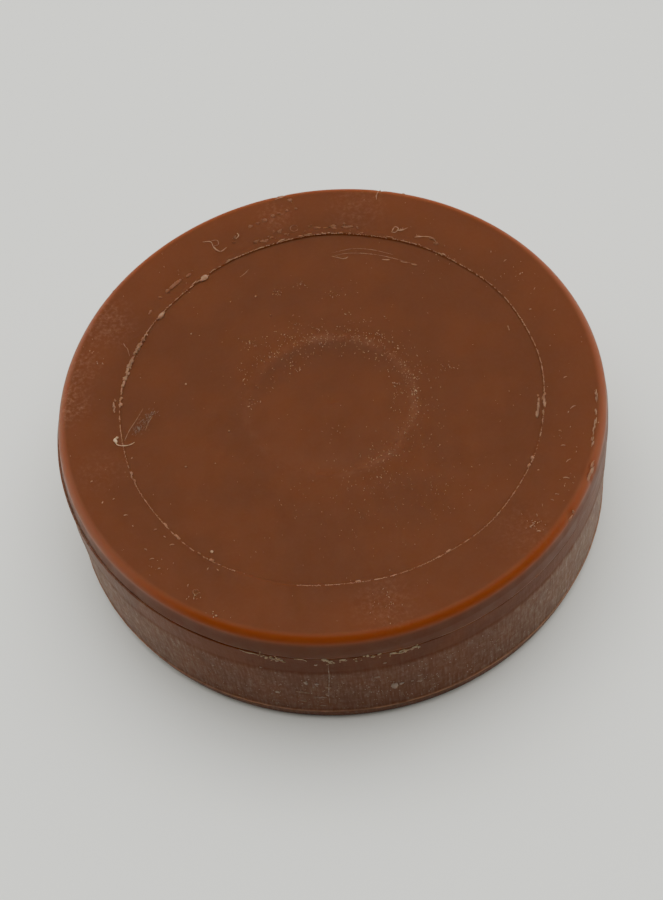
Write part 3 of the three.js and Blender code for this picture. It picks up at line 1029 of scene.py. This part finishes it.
JOINT_GROUPS = (  # clusters of crumbs along the joint: azimuth, height, spread in degrees and count
    (-21.2, 18.9, 0.6, 5), (-18.6, 18.5, 1.4, 26), (-17.0, 18.0, 1.2, 6), (-8.1, 18.9, 0.8, 9),
    (-7.3, 18.0, 0.9, 10), (-4.7, 18.6, 0.9, 6), (-2.2, 18.6, 0.8, 5), (0.4, 18.8, 0.8, 7),
    (2.2, 18.6, 0.7, 4), (5.2, 18.3, 0.8, 5), (7.4, 18.3, 1.0, 12), (9.6, 18.6, 0.9, 9),
)
JOINT_THREADS = (  # threads of wax in the joint: azimuth and height of the places they pass, and thickness
    (((-25.5, 19.3), (-24.0, 18.9), (-22.6, 19.0), (-21.4, 18.9)), 0.14),
    (((-14.4, 19.1), (-13.2, 19.05), (-12.3, 18.9), (-11.9, 18.4)), 0.18),
    (((-9.0, 19.1), (-8.3, 18.9), (-7.4, 18.5), (-6.8, 18.6)), 0.24),
    (((-5.4, 18.5), (-4.9, 18.9), (-4.4, 18.4), (-3.9, 18.6)), 0.14),
    (((4.4, 18.4), (5.8, 18.2), (6.9, 18.0), (8.1, 18.3), (9.4, 18.5)), 0.2),
    (((9.4, 18.5), (10.4, 18.3), (10.2, 17.8)), 0.15),
)
SIDE_SPECKS = (  # specks on the lower wall: azimuth, height, half width and half height
    (-19.4, 7.6, 0.35, 0.3), (-14.8, 8.6, 0.55, 0.16), (-13.1, 11.6, 0.25, 0.45), (-10.9, 11.4, 0.3, 0.22),
    (-9.1, 8.0, 0.24, 0.55), (-10.6, 7.1, 0.8, 0.1), (4.7, 8.4, 0.5, 0.75), (6.2, 8.6, 0.35, 0.24),
    (10.0, 7.9, 0.4, 0.35), (10.2, 9.6, 0.35, 0.2), (1.5, 12.2, 0.45, 0.22), (-14.3, 5.6, 0.4, 0.16),
    (-10.5, 4.4, 0.35, 0.14), (-21.8, 14.9, 0.22, 0.2), (-10.3, 17.4, 0.26, 0.2), (3.3, 16.0, 0.26, 0.2),
    (-8.6, 10.3, 0.5, 0.12), (-13.4, 8.4, 0.35, 0.1), (28.0, 9.0, 0.3, 0.16), (-33.0, 11.0, 0.25, 0.2),
)
DRIP = ((-7.6, 18.4), (-7.9, 16.6), (-8.0, 14.4), (-8.3, 12.0), (-8.6, 10.0), (-8.9, 7.6), (-9.0, 5.0))


def make_joint_crumbs(material):
    """Crumbs and threads of wax that fill the joint at the front."""
    heap = Heap()
    chance = random.Random(3)
    for azimuth, height, spread, count in JOINT_GROUPS:
        for _ in range(count):
            turn, level = chance.gauss(azimuth, 0.6 * spread), chance.gauss(height, 0.28)
            size = chance.triangular(0.06, 0.22, 0.08)
            add_bit(heap, FLAKE, on_wall(turn, level, 0.02), wall_axes(turn), (1.4 * size, size, 0.1), 1.0)
    for line, size in JOINT_THREADS:
        add_cord(heap, [on_wall(turn, level, 0.06) for turn, level in line], size, outward, 0.7, 0.9)
    heap.build("joint_crumbs", material)


def make_side_specks(material):
    """Specks and streaks on the body's wall, with the thin drip below the joint."""
    heap = Heap()
    chance = random.Random(8)
    for azimuth, height, half_width, half_height in SIDE_SPECKS:
        half = (half_width, half_height, 0.08)
        add_bit(heap, BLOB, on_wall(azimuth, height), wall_axes(azimuth), half, 0.9)
    add_cord(heap, [on_wall(turn, level) for turn, level in DRIP], 0.11, outward, 0.6, 0.9)
    for _ in range(420):
        turn, level = chance.gauss(-4, 30), chance.uniform(3.2, 14.0)
        size = chance.triangular(0.04, 0.13, 0.06)
        add_bit(heap, FLAKE, on_wall(turn, level), wall_axes(turn), (size, 1.6 * size, 0.04), 0.5)
    heap.build("side_specks", material)


FLOOR = (0.885, 0.892, 0.828, 1)
FLOOR_HALF = 3.0


def make_floor():
    nodes = Material("backdrop")
    nodes.shader.inputs["Base Color"].default_value = FLOOR
    nodes.shader.inputs["Roughness"].default_value = 0.6
    mesh = bpy.data.meshes.new("backdrop")
    corners = [(-FLOOR_HALF, -FLOOR_HALF, 0), (FLOOR_HALF, -FLOOR_HALF, 0),
               (FLOOR_HALF, FLOOR_HALF, 0), (-FLOOR_HALF, FLOOR_HALF, 0)]
    mesh.from_pydata(corners, [], [(0, 1, 2, 3)])
    mesh.materials.append(nodes.material)
    floor = bpy.data.objects.new("backdrop", mesh)
    bpy.context.scene.collection.objects.link(floor)


# ---- camera and light ----------------------------------------------------

CAMERA_PLACE = Vector((0.0, -213.6, 329.0)) * MM
CAMERA_AIM = Vector((-0.69, 7.15, 0.0)) * MM
CAMERA_ROLL = math.radians(-8.65)
CAMERA_LENS = 104


def make_camera():
    data = bpy.data.cameras.new("camera")
    data.lens = CAMERA_LENS
    data.sensor_width = 36
    data.clip_start = 0.01
    camera = bpy.data.objects.new("camera", data)
    look = (CAMERA_AIM - CAMERA_PLACE).to_track_quat("-Z", "Y")
    camera.rotation_mode = "QUATERNION"
    camera.rotation_quaternion = look @ Quaternion((0, 0, 1), CAMERA_ROLL)
    camera.location = CAMERA_PLACE
    bpy.context.scene.collection.objects.link(camera)
    bpy.context.scene.camera = camera


LAMP_PLACE = Vector((0.05, 0.15, 1.0))
LAMP_SIZE = (1.2, 1.0)
LAMP_POWER = 9.3


def make_lamp():
    """A broad soft lamp overhead that points at the origin."""
    data = bpy.data.lights.new("overhead", "AREA")
    data.shape = "RECTANGLE"
    data.size, data.size_y = LAMP_SIZE
    data.energy = LAMP_POWER
    lamp = bpy.data.objects.new("overhead", data)
    lamp.location = LAMP_PLACE
    lamp.rotation_euler = (-LAMP_PLACE).to_track_quat("-Z", "Y").to_euler()
    bpy.context.scene.collection.objects.link(lamp)


SKY_BACK = 1.16
SKY_FRONT = 0.1
SKY_RIGHT = 0.2  # how much more light comes from the right than from the middle
SKY_COLOUR = (1, 1, 0.99, 1)


def make_world():
    """A light tent: bright above, behind and at the sides, and dimmer on the camera's side."""
    world = bpy.data.worlds.new("studio")
    world.use_nodes = True
    sky = Nodes(world.node_tree, "Generated")
    x, y, _ = sky.separate()
    front_to_back = sky.ramp(y, -0.6, 0.4, SKY_FRONT, SKY_BACK)
    to_the_right = sky.plus(sky.times(x, SKY_RIGHT), 1)
    background = world.node_tree.nodes["Background"]
    sky.link(sky.times(front_to_back, to_the_right), background.inputs["Strength"])
    background.inputs["Color"].default_value = SKY_COLOUR
    bpy.context.scene.world = world


make_camera()
make_world()
make_lamp()
make_floor()
make_disc(display_wax())
make_body(body_wax())
flash_wax = pale_wax("flash_wax", BLOOM, 0.7)
make_flash(flash_wax)
make_flash_lumps(flash_wax)
make_drops(pale_wax("drop_wax", DROP, 0.6))
make_threads(flash_wax)
make_shaving(pale_wax("crumb_wax", CRUMB, 0.75))
make_specks(pale_wax("speck_wax", CRUMB, 0.42))
make_scuff(pale_wax("scuff_wax", DUST_AND_SHEEN, 0.35))
make_chips(flash_wax)
make_joint_crumbs(pale_wax("joint_wax", JOINT, 0.95))
make_side_specks(pale_wax("side_wax", DUST_AND_SHEEN, 0.75))
